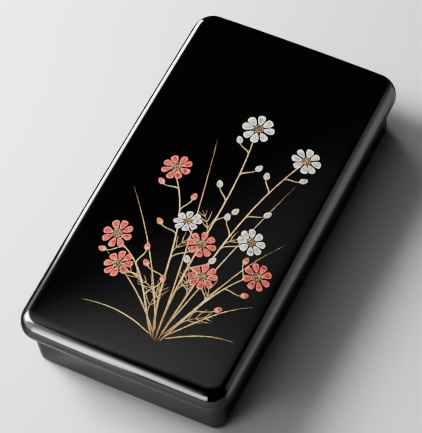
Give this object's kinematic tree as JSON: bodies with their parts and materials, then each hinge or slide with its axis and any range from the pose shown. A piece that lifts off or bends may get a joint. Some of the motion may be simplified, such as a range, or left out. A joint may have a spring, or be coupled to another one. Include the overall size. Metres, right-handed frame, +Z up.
{
  "type": "writing box",
  "caption": "Slim black lacquered writing box, a hollow tray under a lift-off covering lid with rounded shoulders and soft corners.",
  "frame": {"origin": "centre of the underside, on the surface the box stands on", "axes": "+Z up through the lid, +Y along the box's length, +X across it to the right side"},
  "size_m": [0.134, 0.242, 0.046],
  "materials": {
    "lid_lacquer": "high gloss black lacquer over wood",
    "box_lacquer": "high gloss black lacquer over wood"
  },
  "bodies": {
    "root": {"lid": "lid_lacquer", "box": "box_lacquer"}
  },
  "joints": []
}
